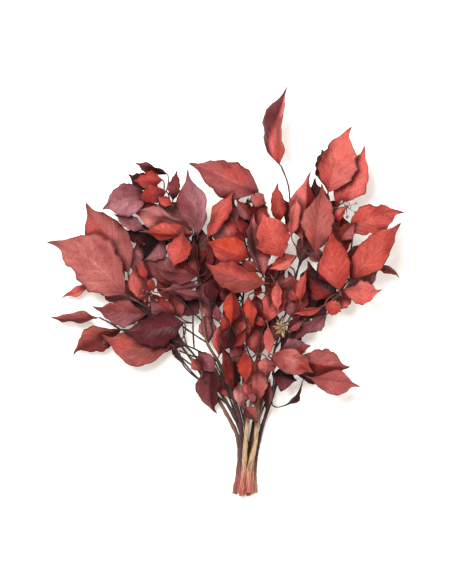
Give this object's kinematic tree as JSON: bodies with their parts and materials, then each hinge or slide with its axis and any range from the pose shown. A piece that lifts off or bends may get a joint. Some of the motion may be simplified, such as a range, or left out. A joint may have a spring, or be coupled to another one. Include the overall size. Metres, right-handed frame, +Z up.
{
  "type": "preserved ivy bunch",
  "caption": "Lying bunch of preserved, dyed ivy branches: bare woody canes at the cut end spread into layered pointed wavy leaves on thin stalks, for still-life and floral dressing",
  "frame": {"origin": "On the ground under the middle of the lying bunch's bounding box", "axes": "+Z up, +Y from the cut ends of the canes to the leaf tips, +X to the right seen from above"},
  "size_m": [0.3878, 0.4508, 0.1282],
  "materials": {
    "coral_leaf": "matte preserved leaf with a soft sheen",
    "mauve_leaf": "preserved leaf with a soft sheen",
    "burgundy_leaf": "dark preserved leaf with a soft sheen"
  },
  "bodies": {
    "root": {"stem_outer_left": "coral_leaf", "stem_low_left": "burgundy_leaf", "stem_left": "mauve_leaf", "stem_centre_left": "coral_leaf", "stem_centre": "coral_leaf", "stem_centre_right": "coral_leaf", "stem_right": "coral_leaf", "stem_low_right": "burgundy_leaf", "stem_front": "coral_leaf"}
  },
  "joints": []
}
